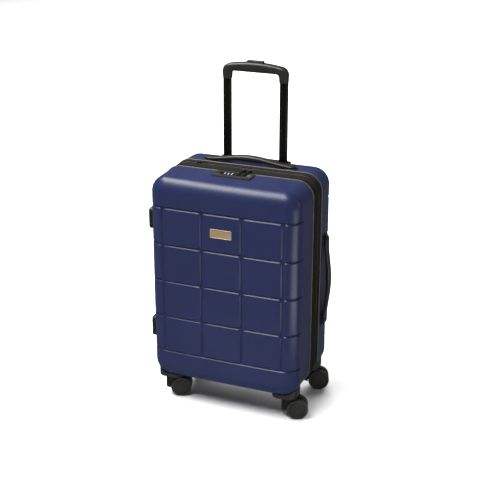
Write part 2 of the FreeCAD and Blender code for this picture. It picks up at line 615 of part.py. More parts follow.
CORNERS = (("front_left", -1, "low"), ("front_right", 1, "low"),
           ("rear_left", -1, "high"), ("rear_right", 1, "high"))
for name, side, face in CORNERS:
    outline = lid_outline if face == "low" else rear_outline
    node(f"{name}_caster_housing", housing(f"{name}_caster_housing", side, face, outline))
for name, side, face in CORNERS:
    fork, axle, wheels = local_caster(name)
    y_mid = "-case_depth / 2 + caster_inset" if face == "low" else "case_depth / 2 - caster_inset"
    for thing in (fork, axle, *wheels):
        place(thing, f"{side} * caster_x", y_mid, "0", (0, 0, 1), dim("rest_turn"))
    node(f"{name}_caster_fork", fork)
    node(f"{name}_axle", axle)
    node(f"{name}_wheel_inner", wheels[1])
    node(f"{name}_wheel_outer", wheels[0])


# ---------------------------------------------------------------- side feet
def feet(name, y):
    pads = []
    for i, side in enumerate((-1, 1)):
        pads.append(block(f"{name}_{i}", "X",
                          ("foot_out - case_width / 2", "foot_deep", "foot_tall"),
                          ("-foot_out", f"({y}) - foot_deep / 2",
                           f"foot_middle + {side} * foot_spacing / 2 - foot_tall / 2"),
                          corner=5))
    return node(name, fuse(name, *pads))


feet("front_side_feet", "foot_y")
feet("rear_side_feet", "rear_foot_y")

# ---------------------------------------------------------------- checks and export
doc.recompute()
bad = [o.Name for o in doc.Objects if "Invalid" in o.State or "Error" in o.State]
if bad:
    raise RuntimeError("objects in error: " + ", ".join(bad))
for thing in nodes:
    if thing.Shape.isNull() or not thing.Shape.isValid():
        raise RuntimeError("bad shape: " + thing.Label)
os.makedirs("parts", exist_ok=True)
for thing in nodes:
    thing.Shape.exportStep(f"parts/{thing.Label}.step")
print(len(nodes), "sub-parts written")
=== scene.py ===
"""Looks of the cabin suitcase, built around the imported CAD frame. Metres, front towards -Y."""
import json
import math

import bmesh
import bpy
import numpy as np
from mathutils import Matrix, Vector


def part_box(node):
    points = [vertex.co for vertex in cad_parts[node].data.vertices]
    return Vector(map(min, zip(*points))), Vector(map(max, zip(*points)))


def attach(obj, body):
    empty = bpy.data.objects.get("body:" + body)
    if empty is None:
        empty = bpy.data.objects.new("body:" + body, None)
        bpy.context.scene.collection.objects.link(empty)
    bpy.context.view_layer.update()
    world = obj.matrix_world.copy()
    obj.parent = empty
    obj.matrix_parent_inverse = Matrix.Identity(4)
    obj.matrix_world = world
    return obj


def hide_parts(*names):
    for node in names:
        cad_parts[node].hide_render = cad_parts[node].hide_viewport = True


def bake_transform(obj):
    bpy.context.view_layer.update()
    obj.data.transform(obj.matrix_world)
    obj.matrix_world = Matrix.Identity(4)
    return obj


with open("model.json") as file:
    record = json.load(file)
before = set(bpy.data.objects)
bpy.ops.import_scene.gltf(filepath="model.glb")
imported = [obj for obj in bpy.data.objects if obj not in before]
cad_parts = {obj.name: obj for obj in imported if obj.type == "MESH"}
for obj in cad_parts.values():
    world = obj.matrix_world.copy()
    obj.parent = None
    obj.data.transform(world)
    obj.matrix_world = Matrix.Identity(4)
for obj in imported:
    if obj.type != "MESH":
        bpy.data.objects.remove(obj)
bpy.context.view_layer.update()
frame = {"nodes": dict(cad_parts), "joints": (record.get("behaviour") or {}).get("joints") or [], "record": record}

joints = {j["name"]: j for j in frame["joints"]}
MM = 0.001
X, Y, Z = Vector((1, 0, 0)), Vector((0, 1, 0)), Vector((0, 0, 1))

# ---------------------------------------------------------------- driving sizes
lid_low, lid_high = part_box("front_shell")
rear_low, rear_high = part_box("rear_shell")
HALF = lid_high.x                        # half the width of the case
LOW, HIGH = lid_low.z, lid_high.z        # underside and top of the shell
CORNER = 38 * MM                         # corner radius seen from the front
EDGE = 32 * MM                           # rounding of the face into the sides
WALL = 3 * MM
ROW_PITCH, COLUMN_PITCH = 87 * MM, 95.2 * MM
ROW_MIDDLE = 306 * MM
GROOVE = 2.4 * MM                        # half the width of a pressed groove
GROOVE_DEEP = 2.9 * MM
GROOVE_LIP, GROOVE_WALL = 0.9 * MM, 2.9 * MM    # the sloping wall starts inside the panel's edge
GROOVE_WRAP = 40 * MM                    # how far a row groove runs back along the sides
GROOVE_FADE = 9 * MM                     # the length over which it dies out there
PAD_CORNER = 6 * MM                      # rounded corners of the raised panels
CROWN_X, CROWN_Z = 2.6 * MM, 3.2 * MM    # how far the face falls away at its rims
DRAFT = 1.6 * MM                         # the shell narrows this much towards its face
LINING_GAP = 5 * MM                      # from the outside of the shell to the lining
CLOTH = 1 * MM                           # how thick the lining is
SIDES = ("left", "right")
CORNERS = ("front_left", "front_right", "rear_left", "rear_right")


# ---------------------------------------------------------------- materials
class Nodes:
    """A material's node tree with short calls."""

    def __init__(self, name, **sockets):
        self.material = bpy.data.materials.new(name)
        self.material.use_nodes = True
        self.tree = self.material.node_tree
        self.shader = self.tree.nodes["Principled BSDF"]
        self.place = self.add("ShaderNodeTexCoord").outputs["Object"]
        for socket, value in sockets.items():
            self.shader.inputs[socket.replace("_", " ")].default_value = value

    def add(self, kind, inputs=(), **settings):
        node = self.tree.nodes.new(kind)
        for key, value in settings.items():
            setattr(node, key, value)
        for socket, value in dict(inputs).items():
            if isinstance(value, bpy.types.NodeSocket):
                self.tree.links.new(value, node.inputs[socket])
            else:
                node.inputs[socket].default_value = value
        return node

    def noise(self, scale, detail=3.0, stretch=(1, 1, 1), rough=0.5):
        at = self.add("ShaderNodeMapping", {"Vector": self.place, "Scale": stretch}).outputs[0]
        return self.add("ShaderNodeTexNoise", {"Vector": at, "Scale": scale, "Detail": detail,
                                               "Roughness": rough}).outputs["Fac"]

    def wave(self, direction, scale):
        return self.add("ShaderNodeTexWave", {"Vector": self.place, "Scale": scale},
                        bands_direction=direction).outputs["Fac"]

    def maths(self, operation, first, second=0.0):
        return self.add("ShaderNodeMath", {0: first, 1: second}, operation=operation).outputs[0]

    def fit(self, value, low, high, to_low, to_high):
        return self.add("ShaderNodeMapRange", {"Value": value, "From Min": low, "From Max": high,
                                               "To Min": to_low, "To Max": to_high}).outputs[0]

    def spread(self, noise, to_low=0, to_high=1):
        """Noise stays mostly between 0.3 and 0.7; stretch that over the range asked for."""
        return self.fit(noise, 0.3, 0.7, to_low, to_high)

    def blend(self, factor, first, second):
        factor_in, first_in, second_in, mixed_out = 0, 6, 7, 2    # the node's colour sockets
        mix = self.add("ShaderNodeMix", data_type="RGBA")
        self.tree.links.new(factor, mix.inputs[factor_in])
        mix.inputs[first_in].default_value = (*first, 1)
        mix.inputs[second_in].default_value = (*second, 1)
        return mix.outputs[mixed_out]

    def link(self, value, socket):
        self.tree.links.new(value, self.shader.inputs[socket])

    def bump(self, height, strength, distance):
        node = self.add("ShaderNodeBump", {"Height": height, "Strength": strength,
                                           "Distance": distance})
        self.link(node.outputs[0], "Normal")


def shade(colour, factor):
    return tuple(min(1.0, c * factor) for c in colour)


def shell_plastic():
    """Pressed polycarbonate film: deep navy, satin, with a faint orange peel."""
    m = Nodes("shell_navy", Specular_IOR_Level=0.2)
    base = (0.0104, 0.0146, 0.0480)
    m.link(m.blend(m.spread(m.noise(9)), shade(base, 0.93), shade(base, 1.07)), "Base Color")
    m.link(m.spread(m.noise(160, 5), 0.30, 0.36), "Roughness")
    m.bump(m.noise(1100, 2), 0.1, 0.0001)
    return m.material


def moulded(name, base, rough, grain=1500, deep=0.00015):
    """Injection-moulded plastic or paint with a fine spark texture and slight wear."""
    m = Nodes(name, Specular_IOR_Level=0.28)
    m.link(m.blend(m.fit(m.noise(60, 4), 0.35, 0.68, 0, 1), shade(base, 0.88), shade(base, 1.15)),
           "Base Color")
    m.link(m.spread(m.noise(220, 4), rough - 0.05, rough + 0.07), "Roughness")
    m.bump(m.noise(grain, 3), 0.25, deep)
    return m.material


def woven(name, base, pitch, rough=0.85, sheen=0.05):
    """Plain weave: threads crossing on every face of the cloth."""
    m = Nodes(name, Sheen_Weight=sheen, Sheen_Roughness=0.4, Roughness=rough,
              Specular_IOR_Level=0.2)
    scale = 0.5 / pitch / math.pi
    across = m.maths("ADD", m.wave("X", scale), m.wave("Z", scale))
    threads = m.maths("MULTIPLY", across, m.wave("Y", scale))
    level = m.fit(m.maths("ADD", threads, m.noise(90, 4)), 0.4, 1.8, 0, 1)
    m.link(m.blend(level, shade(base, 0.65), shade(base, 1.35)), "Base Color")
    m.bump(threads, 0.5, pitch * 0.35)
    return m.material


def napped(name, base):
    """Short-haired lining cloth without a visible thread."""
    m = Nodes(name, Sheen_Weight=0.08, Sheen_Roughness=0.5, Roughness=0.9,
              Specular_IOR_Level=0.2)
    nap = m.noise(700, 5, rough=0.7)
    m.link(m.blend(m.spread(nap), shade(base, 0.82), shade(base, 1.18)), "Base Color")
    m.bump(nap, 0.4, 0.0002)
    return m.material


def metal(name, base, rough, stretch=(1, 1, 1), scale=300, strength=0.15, metallic=1.0):
    """Brushed metal: the grain runs along the axis whose stretch is small."""
    m = Nodes(name, Metallic=metallic)
    grain = m.noise(scale, 5, stretch)
    m.link(m.blend(m.spread(grain), shade(base, 0.82), shade(base, 1.1)), "Base Color")
    m.link(m.spread(grain, rough - 0.06, rough + 0.08), "Roughness")
    m.bump(grain, strength, 0.00005)
    return m.material


NAVY = shell_plastic()
BLACK = moulded("plastic_black", (0.0085, 0.008, 0.0065), 0.38)
GREY_BLACK = moulded("plastic_housing", (0.017, 0.0155, 0.012), 0.40)
GRIP = moulded("rubber_grip", (0.0105, 0.010, 0.0082), 0.40, grain=1900, deep=0.0002)
# warm grey piping colour, lightened well above the black plastics to paint the highlight line that runs along each
# bead
PIPING_WITH_PAINTED_HIGHLIGHT = moulded("piping_vinyl_painted_highlight", (0.060, 0.053, 0.040), 0.36, grain=900)
WHEEL = moulded("wheel_tread", (0.0250, 0.0245, 0.0222), 0.50, grain=700)
HUB = moulded("wheel_hub", (0.0215, 0.0210, 0.0190), 0.42)
TUBE = metal("tube_anodised", (0.034, 0.033, 0.028), 0.30, (1, 1, 0.02), 900, 0.08)
STEEL = metal("steel_plain", (0.42, 0.42, 0.43), 0.34)
BRASS = metal("brass_brushed", (0.265, 0.195, 0.112), 0.42, (0.03, 1, 1), 1600, 0.35, 0.35)
ZINC = metal("zinc_black", (0.028, 0.027, 0.024), 0.42)
FIGURES = moulded("dial_figures", (0.80, 0.80, 0.76), 0.5)
DIAL = moulded("dial_black", (0.006, 0.006, 0.006), 0.35)
TAPE = woven("zip_tape", (0.0062, 0.0054, 0.0040), 0.0006, 0.8, 0.01)
GUSSET_CLOTH = woven("gusset_cloth", (0.0045, 0.0038, 0.0027), 0.0009, 0.8, 0.01)
LINING = napped("lining_cloth", (0.155, 0.16, 0.175))
WEBBING = woven("strap_webbing", (0.02, 0.02, 0.021), 0.0014)


# ---------------------------------------------------------------- mesh helpers
def piece(name, mesh, body, finish, replaces=(), sharp=40):
    """Put a finished mesh into the scene, smooth but for its sharp edges.

    A piece that bends across a joint is made without a body."""
    mesh.name = name
    mesh.polygons.foreach_set("use_smooth", [True] * len(mesh.polygons))
    mesh.set_sharp_from_angle(angle=math.radians(sharp))
    if finish:
        mesh.materials.append(finish)
    thing = bpy.data.objects.new(name, mesh)
    bpy.context.scene.collection.objects.link(thing)
    if body:
        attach(thing, body)
    if replaces:
        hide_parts(*replaces)
    return thing


def body_of(node):
    bodies = frame["record"]["behaviour"]["bodies"]
    return next(body for body, names in bodies.items() if node in names)


def smooth(t):
    t = np.clip(t, 0, 1)
    return t * t * (3 - 2 * t)


def to_mesh(bm, merge=1e-6):
    bmesh.ops.remove_doubles(bm, verts=bm.verts, dist=merge)
    bmesh.ops.recalc_face_normals(bm, faces=bm.faces)
    mesh = bpy.data.meshes.new("mesh")
    bm.to_mesh(mesh)
    bm.free()
    return mesh


def from_lists(verts, faces, merge=1e-6):
    bm = bmesh.new()
    made = [bm.verts.new(v) for v in verts]
    for face in faces:
        corners = list(dict.fromkeys(made[i] for i in face))
        if len(corners) > 2:
            bm.faces.new(corners)
    return to_mesh(bm, merge)


def ring_faces(rings, count, closed_rings=False):
    """Quads between neighbouring rings of count points each."""
    faces = []
    for r in range(rings if closed_rings else rings - 1):
        a, b = r * count, ((r + 1) % rings) * count
        for i in range(count):
            j = (i + 1) % count
            faces.append((a + i, a + j, b + j, b + i))
    return faces


def tube_of_rings(rings):
    """A closed skin through rings of points, capped at both ends."""
    count = len(rings[0])
    verts = [p for ring in rings for p in ring]
    faces = ring_faces(len(rings), count)
    faces.append(tuple(range(count))[::-1])
    faces.append(tuple(range(len(verts) - count, len(verts))))
    return from_lists(verts, faces)


def round_section(wide, tall, radius, steps=5):
    """Points of a rounded rectangle about the origin."""
    points = []
    for sx, sy, start in ((1, 1, 0), (-1, 1, 90), (-1, -1, 180), (1, -1, 270)):
        for i in range(steps + 1):
            a = math.radians(start + 90 * i / steps)
            points.append((sx * (wide / 2 - radius) + radius * math.cos(a),
                           sy * (tall / 2 - radius) + radius * math.sin(a)))
    return points


def joined(meshes):
    bm = bmesh.new()
    for mesh in meshes:
        bm.from_mesh(mesh)
    mesh = bpy.data.meshes.new("mesh")
    bm.to_mesh(mesh)
    bm.free()
    return mesh


def rounded_block(size, at, radius, bevel):
    """A block with rounded upright edges and a softened top and bottom."""
    rings = []
    for z, inset in ((0, bevel), (bevel * 0.3, bevel * 0.3), (bevel, 0),
                     (size[2] - bevel, 0), (size[2] - bevel * 0.3, bevel * 0.3),
                     (size[2], bevel)):
        outline = round_section(size[0] - 2 * inset, size[1] - 2 * inset,
                                max(radius - inset, radius * 0.3))
        rings.append([(at[0] + x, at[1] + y, at[2] + z) for x, y in outline])
    return tube_of_rings(rings)


def carved(mesh, *blocks):
    """Cut closed meshes out of a closed mesh."""
    target = bpy.data.objects.new("target", mesh)
    bpy.context.scene.collection.objects.link(target)
    cutters = []
    for block in blocks:
        cutter = bpy.data.objects.new("cutter", block)
        bpy.context.scene.collection.objects.link(cutter)
        step = target.modifiers.new("cut", "BOOLEAN")
        step.object = cutter
        step.operation = "DIFFERENCE"
        step.solver = "EXACT"
        cutters.append(cutter)
    bpy.context.view_layer.update()
    result = bpy.data.meshes.new_from_object(
        target.evaluated_get(bpy.context.evaluated_depsgraph_get()))
    for thing in (target, *cutters):
        bpy.data.objects.remove(thing)
    return result


def softened(node, width, finish, segments=2):
    """The CAD piece with its sharp edges rounded off."""
    flat, sharp_from = math.radians(0.8), math.radians(32)
    bm = bmesh.new()
    bm.from_mesh(frame["nodes"][node].data)
    bmesh.ops.remove_doubles(bm, verts=bm.verts, dist=2e-6)
    bmesh.ops.dissolve_limit(bm, angle_limit=flat, verts=bm.verts, edges=bm.edges)
    sharp = [e for e in bm.edges
             if len(e.link_faces) == 2 and e.calc_face_angle(0) > sharp_from]
    bmesh.ops.bevel(bm, geom=sharp, offset=width, segments=segments, profile=0.5,
                    affect="EDGES", clamp_overlap=True)
    return piece(node + "_moulded", to_mesh(bm), body_of(node), finish, (node,))


# ---------------------------------------------------------------- half shells
def lines_between(low, high, marks, gap=9 * MM):
    """Places from low to high, crowded round each mark and never nearer than a third of a mm."""
    nearest = 0.3 * MM
    near = np.array([0, 0.45, 1.0, 1.7, 2.4, 3.0, 3.4, 3.9, 4.8, 6.2, 8.6]) * MM
    places = {low, high}
    for mark in marks:
        for n in near:
            places.update((mark - n, mark + n))
    places = sorted(p for p in places if low <= p <= high)
    filled = [places[0]]
    for p in places[1:]:
        room = p - filled[-1]
        if room < nearest:
            continue
        parts = max(1, round(room / gap))
        filled += [filled[-1] + room * i / parts for i in range(1, parts + 1)]
    return np.array(filled)


ROWS = [ROW_MIDDLE + k * ROW_PITCH for k in (-2, -1, 0, 1, 2)]
COLUMNS = [k * COLUMN_PITCH for k in (-1.5, -0.5, 0.5, 1.5)]
X_LINES = lines_between(-(HALF - CORNER), HALF - CORNER, COLUMNS)
Z_LINES = lines_between(LOW + CORNER, HIGH - CORNER, ROWS)


def outline_points(inset, x_lines=X_LINES, z_lines=Z_LINES, steps=14):
    """One loop round the case, shrunk by inset: (x, z, across, up) with the outward normal."""
    radius = max(CORNER - inset, 0)
    right, top = HALF - inset, HIGH - inset
    bottom = LOW + inset
    loop = [(x, top, 0, 1) for x in x_lines]
    arc = [math.radians(90 * i / steps) for i in range(1, steps)]
    loop += [(HALF - CORNER + radius * math.sin(a), HIGH - CORNER + radius * math.cos(a),
              math.sin(a), math.cos(a)) for a in arc]
    loop += [(right, z, 1, 0) for z in z_lines[::-1]]
    loop += [(HALF - CORNER + radius * math.cos(a), LOW + CORNER - radius * math.sin(a),
              math.cos(a), -math.sin(a)) for a in arc]
    loop += [(x, bottom, 0, -1) for x in x_lines[::-1]]
    loop += [(-(HALF - CORNER) - radius * math.sin(a), LOW + CORNER - radius * math.cos(a),
              -math.sin(a), -math.cos(a)) for a in arc]
    loop += [(-right, z, -1, 0) for z in z_lines]
    loop += [(-(HALF - CORNER) - radius * math.cos(a), HIGH - CORNER + radius * math.sin(a),
              -math.cos(a), math.sin(a)) for a in arc]
    return np.array(loop)


def panel_distance(u, z):
    """Distance outside the nearest raised panel; u runs sideways round the vertical edges.

    The outer panels run on round the sides, so their outer edge is put far away."""
    reach = 0.1
    low, high = ROWS[0], ROWS[-1]
    nearest = np.minimum(z - (low - GROOVE), (high + GROOVE) - z)
    for row in range(len(ROWS) - 1):
        middle_z = low + (row + 0.5) * ROW_PITCH
        for middle, half in ((0, COLUMN_PITCH / 2), (COLUMN_PITCH, COLUMN_PITCH / 2),
                             (2 * COLUMN_PITCH + reach, COLUMN_PITCH / 2 + reach)):
            dx = np.abs(u - middle) - (half - GROOVE - PAD_CORNER)
            dz = np.abs(z - middle_z) - (ROW_PITCH / 2 - GROOVE - PAD_CORNER)
            outside = np.hypot(np.maximum(dx, 0), np.maximum(dz, 0))
            inside = np.minimum(np.maximum(dx, dz), 0)
            nearest = np.minimum(nearest, outside + inside - PAD_CORNER)
    return nearest


def groove_depth(u, z):
    """How deep the face is pressed in."""
    into = np.clip((panel_distance(u, z) + GROOVE_LIP) / GROOVE_WALL, 0, 1)
    profile = 0.7 * into + 0.3 * smooth(into)
    end = HALF - EDGE + EDGE * math.pi / 2 + GROOVE_WRAP - EDGE
    return GROOVE_DEEP * profile * (1 - smooth((u - end + 7 * MM) / GROOVE_FADE))


def shell_skin(face, rim, toward, grow, grooved=False):
    """Vertices and faces of one skin of a half shell, from its rim to the middle of its face.

    A ring is (depth from the rim, inset, angle turned from the side towards the face)."""
    arc_steps, face_steps = 18, 10
    depth = abs(face - rim)
    radius = EDGE - grow
    rings = [(depth * t, 0.0, 0.0) for t in (0, 0.004, 0.03)]
    straight = depth - radius
    marks = [straight * k / 5 for k in range(1, 4)]
    marks += list(np.arange(depth - GROOVE_WRAP - 10 * MM, straight, 2.2 * MM))
    rings += [(d, 0.0, 0.0) for d in marks if 0.03 * depth < d < straight]
    for i in range(arc_steps + 1):
        a = math.radians(90 * i / arc_steps)
        rings.append((straight + radius * math.sin(a), radius * (1 - math.cos(a)), a))
    for i in range(1, face_steps + 1):
        rings.append((straight + radius, radius + (CORNER - EDGE) * i / face_steps, math.pi / 2))
    verts, count = [], 0
    for d, inset, angle in rings:
        loop = outline_points(inset + grow)
        count = len(loop)
        x, z, nx, nz = loop.T
        verts.append(np.column_stack([x, np.full(count, d), z, nx, np.full(count, angle), nz,
                                      np.full(count, inset)]))
    faces = ring_faces(len(rings), count)
    # the flat middle of the face
    across, up = np.meshgrid(X_LINES, Z_LINES, indexing="ij")
    flat = across.size
    start = len(rings) * count
    verts.append(np.column_stack([across.ravel(), np.full(flat, straight + radius), up.ravel(),
                                  np.zeros(flat), np.full(flat, math.pi / 2), np.zeros(flat),
                                  np.full(flat, CORNER - grow)]))
    columns = len(Z_LINES)
    for i in range(len(X_LINES) - 1):
        for k in range(columns - 1):
            a = start + i * columns + k
            faces.append((a, a + columns, a + columns + 1, a + 1))
    table = np.vstack(verts)
    x, d, z, nx, angle, nz, inset = table.T
    run = np.where(angle < 1e-6, straight - d, 0)
    round_side = (np.abs(nx) > 0.5) & (inset < radius)
    u = np.where(round_side, HALF - EDGE + (math.pi / 2 - angle) * EDGE + run, np.abs(x))
    press = groove_depth(u, z) if grooved else 0 * u
    forward = np.sin(angle)
    aside = np.cos(angle)
    # crown of the face, and draft towards it
    middle_z = (LOW + HIGH) / 2
    fade = smooth((d - straight + 4 * MM) / (EDGE + 4 * MM))
    fall = (CROWN_X * (x / HALF) ** 2 + CROWN_Z * ((z - middle_z) / (HIGH - middle_z)) ** 2) * fade
    draft = DRAFT * d / depth
    px = x * (1 - draft / HALF) - nx * aside * press
    pz = np.where(z > middle_z, z - draft * (z - middle_z) / (HIGH - middle_z), z)
    pz = pz - nz * aside * press
    py = rim + toward * (d - fall - forward * press)
    return np.column_stack([px, py, pz]), faces, count


def half_shell(node, rim, face, toward, pocket):
    """One pressed half with its wall, and the pocket that its fitting sits in cut out."""
    outer, outer_faces, count = shell_skin(face, rim, toward, 0.0, True)
    inner, inner_faces, _ = shell_skin(face - toward * WALL, rim, toward, WALL, False)
    inner_start = len(outer)
    verts = [tuple(v) for v in np.vstack([outer, inner])]
    faces = outer_faces + [tuple(inner_start + i for i in f)[::-1] for f in inner_faces]
    for i in range(count):
        j = (i + 1) % count
        faces.append((i, inner_start + i, inner_start + j, j))
    mesh = carved(from_lists(verts, faces, 2e-6), pocket)
    return piece(node + "_pressed", mesh, body_of(node), NAVY, (node,), sharp=50)


lock_low, lock_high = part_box("lock_housing")
well_low, well_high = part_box("handle_well")


def block_between(low, high, radius, grow=0.0):
    """A rounded block that fills the box from low to high, grown on every side."""
    size = [b - a + 2 * grow for a, b in zip(low, high)]
    at = ((low[0] + high[0]) / 2, (low[1] + high[1]) / 2, low[2] - grow)
    return rounded_block(size, at, radius, 0.2 * MM)


LOCK_CORNER, WELL_CORNER = 3 * MM, 5 * MM
FLANGE = 4.9 * MM                        # the well's flange lies this far over the shell
ABOVE = 20 * MM                          # a cutter reaches past the surface it opens
lock_pocket = block_between(lock_low, lock_high, LOCK_CORNER, -0.05 * MM)
well_pocket = block_between((well_low.x + FLANGE, well_low.y + FLANGE, well_low.z),
                            (well_high.x - FLANGE, well_high.y - FLANGE, well_high.z + ABOVE),
                            WELL_CORNER)
half_shell("front_shell", lid_high.y, lid_low.y, -1, lock_pocket)
half_shell("rear_shell", rear_low.y, rear_high.y, 1, well_pocket)


# ---------------------------------------------------------------- zip band
BAND_X = np.linspace(-(HALF - CORNER), HALF - CORNER, 15)
BAND_Z = np.linspace(LOW + CORNER, HIGH - CORNER, 21)
BAND_PATH = outline_points(0.0, BAND_X, BAND_Z, 20)
TAPE_SUNK, TAPE_THICK = 0.7 * MM, 1.6 * MM
GUSSET_SUNK, GUSSET_THICK = 0.2 * MM, 2.4 * MM
SEAMS = (2.2 * MM, 6.2 * MM)             # ribs of a tape, from its sewn edge


def swept_band(section):
    """Carry a closed section of (outward, y) points round the case."""
    verts = []
    for out, y in section:
        verts += [(x + nx * out, y, z + nz * out) for x, z, nx, nz in BAND_PATH]
    return from_lists(verts, ring_faces(len(section), len(BAND_PATH), True))


def bead_section(y, wide, proud, foot):
    """A half-round bead with a flat foot that goes under the shell's rim."""
    points = [(-foot, y + wide), (-foot, y)]
    steps, fullness = 8, 0.8
    for i in range(steps + 1):
        a = math.radians(180 * i / steps)
        points.append((proud * math.sin(a) ** fullness if 0 < i < steps else 0.0,
                       y + wide / 2 - wide / 2 * math.cos(a)))
    return points


def cloth_section(y_low, y_high, out, thick, ribs):
    """A tape across y that sags in its middle, with sewn ribs at the given places."""
    rib_tall, rib_wide, slack = 0.45 * MM, 0.6 * MM, 0.25 * MM
    top = []
    for y in np.linspace(y_low, y_high, 25):
        lift = sum(rib_tall * math.exp(-((y - r) / rib_wide) ** 2) for r in ribs)
        sag = slack * math.sin(math.pi * (y - y_low) / (y_high - y_low))
        top.append((out + lift - sag, y))
    return [(out - thick, y_high), (out - thick, y_low)] + top


def along_path(pitch, skip=None):
    """Evenly spaced places round the band: point, normal and travel direction."""
    points = [Vector((x, 0, z)) for x, z, _, _ in BAND_PATH]
    normals = [Vector((nx, 0, nz)) for _, _, nx, nz in BAND_PATH]
    places, carry = [], 0.0
    for i, p in enumerate(points):
        q = points[(i + 1) % len(points)]
        length = (q - p).length
        if length < 1e-7:
            continue
        while carry < length:
            t = carry / length
            n = normals[i].lerp(normals[(i + 1) % len(points)], t).normalized()
            at = p.lerp(q, t)
            if skip is None or not skip(at):
                places.append((at, n, (q - p).normalized()))
            carry += pitch
        carry -= length
    return places


def brick(at, axes, size, taper=0.75):
    """A small tapered block: size along the axes (travel, y, outward)."""
    verts = []
    for k in (0, 1):
        s = taper if k else 1.0
        for i, j in ((-1, -1), (1, -1), (1, 1), (-1, 1)):
            verts.append(at + axes[0] * (i * size[0] / 2 * s) + axes[1] * (j * size[1] / 2 * s)
                         + axes[2] * (k * size[2]))
    faces = [(3, 2, 1, 0), (4, 5, 6, 7), (0, 1, 5, 4), (1, 2, 6, 5), (2, 3, 7, 6), (3, 0, 4, 7)]
    return verts, faces


def tooth_row(name, body, y, pitch, shift, size, out, skip=None):
    """A row of zip teeth round the case."""
    verts, faces = [], []
    for at, normal, travel in along_path(pitch, skip):
        spot = at + travel * shift + normal * out + Y * y
        tooth_verts, tooth_faces = brick(spot, (travel, Y, normal), size)
        faces += [tuple(len(verts) + i for i in face) for face in tooth_faces]
        verts += tooth_verts
    bm = bmesh.new()
    made = [bm.verts.new(v) for v in verts]
    for face in faces:
        bm.faces.new([made[i] for i in face])
    return piece(name, to_mesh(bm, 1e-9), body, ZINC, sharp=30)


zip_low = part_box("front_zip_tape")[0].y
zip_mid = (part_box("front_zip_tape")[1].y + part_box("rear_zip_tape")[0].y) / 2
zip_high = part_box("rear_zip_tape")[1].y
gusset_low, gusset_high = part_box("expansion_gusset")
HINGE_LOW, HINGE_HIGH = LOW + 60 * MM, HIGH - 60 * MM


def at_hinge(p):
    """The closed side of the zip has cloth in place of teeth."""
    return p.x < -HALF + 1 * MM and HINGE_LOW < p.z < HINGE_HIGH


def hinge_strip():
    """Cloth sewn over the closed side of the zip: it is what the lid turns on."""
    thick, over, past, sunk = 0.8 * MM, 2.5 * MM, 4 * MM, 1.6 * MM
    x = -HALF + sunk
    ys = np.linspace(zip_low + over, zip_high - over, 25)
    loops = []
    for z in np.linspace(HINGE_LOW - past, HINGE_HIGH + past, 31):
        loops.append([(x, y, z) for y in ys] + [(x + thick, y, z) for y in ys[::-1]])
    strip = piece("hinge_cloth", tube_of_rings(loops), None, TAPE, sharp=60)
    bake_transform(strip)


def piping(node):
    """The beaded rim of one half."""
    low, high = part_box(node)
    proud, foot = 1.5 * MM, 3 * MM
    section = bead_section(low.y, high.y - low.y, proud, foot)
    piece(node + "_bead", swept_band(section), body_of(node), PIPING_WITH_PAINTED_HIGHLIGHT, (node,))


def tapes():
    """The two cloth tapes of the main zip, which meet under the teeth."""
    gap = 0.2 * MM
    front = cloth_section(zip_low, zip_mid - gap, -TAPE_SUNK, TAPE_THICK,
                          [zip_low + seam for seam in SEAMS])
    piece("front_tape_cloth", swept_band(front), "lid", TAPE, ("front_zip_tape",))
    rear = cloth_section(zip_mid + gap, zip_high, -TAPE_SUNK, TAPE_THICK,
                         [zip_high - seam for seam in SEAMS])
    piece("rear_tape_cloth", swept_band(rear), "rear_case", TAPE, ("rear_zip_tape",))


def gusset():
    """The folded cloth of the expansion, sewn at its edges and beside its own zip."""
    edge, beside = 3 * MM, 5 * MM
    seams = [gusset_low.y + edge, expansion_y - beside, expansion_y + beside, gusset_high.y - edge]
    section = cloth_section(gusset_low.y, gusset_high.y, -GUSSET_SUNK, GUSSET_THICK, seams)
    piece("gusset_cloth_band", swept_band(section), "rear_case", GUSSET_CLOTH,
          ("expansion_gusset",))


def teeth():
    """Teeth of the main zip, its two rows half a pitch apart, and of the expansion zip."""
    size, pitch, apart, sunk = (1.5 * MM, 2.9 * MM, 1.0 * MM), 2.8 * MM, 1.0 * MM, 0.9 * MM
    tooth_row("zip_teeth_front", "lid", zip_mid - apart, pitch, 0, size, -sunk, at_hinge)
    tooth_row("zip_teeth_rear", "rear_case", zip_mid + apart, pitch, pitch / 2, size, -sunk,
              at_hinge)
    small, small_pitch, small_sunk = (1.2 * MM, 5 * MM, 0.8 * MM), 2.0 * MM, 0.5 * MM
    tooth_row("expansion_teeth", "rear_case", expansion_y, small_pitch, 0, small, -small_sunk)


slider_low, slider_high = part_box("expansion_slider")
expansion_y = (slider_low.y + slider_high.y) / 2
piping("front_piping")
piping("rear_piping")
tapes()
hinge_strip()
gusset()
teeth()


# ---------------------------------------------------------------- telescopic handle
TUBE_CORNER, TUBE_WALL = 3 * MM, 1.1 * MM


def grooved_section(wide, deep, radius):
    """Tube section with a shallow channel down the front and the back."""
    steps = 6
    points = round_section(wide, deep, radius, steps)
    channel, lip, sink = wide * 0.16, wide * 0.20, 0.9 * MM
    lower = [(-lip, -deep / 2), (-channel, -deep / 2 + sink), (channel, -deep / 2 + sink),
             (lip, -deep / 2)]
    upper = [(-x, -y) for x, y in lower]
    corner = steps + 1
    return points[:corner] + upper + points[corner:3 * corner] + lower + points[3 * corner:]


def tube_piece(node):
    """A drawn tube, open at both ends."""
    low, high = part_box(node)
    wide, deep = high.x - low.x, high.y - low.y
    cx, cy = (low.x + high.x) / 2, (low.y + high.y) / 2
    outer = grooved_section(wide, deep, TUBE_CORNER)
    thinner, flatter = 1 - 2 * TUBE_WALL / wide, 1 - 2 * TUBE_WALL / deep
    inner = [(x * thinner, y * flatter) for x, y in outer]
    rings = [[(cx + x, cy + y, z) for x, y in section]
             for section, z in ((outer, low.z), (outer, high.z), (inner, high.z), (inner, low.z))]
    mesh = from_lists([p for ring in rings for p in ring], ring_faces(4, len(outer), True))
    return piece(node + "_drawn", mesh, body_of(node), TUBE, (node,), sharp=28)


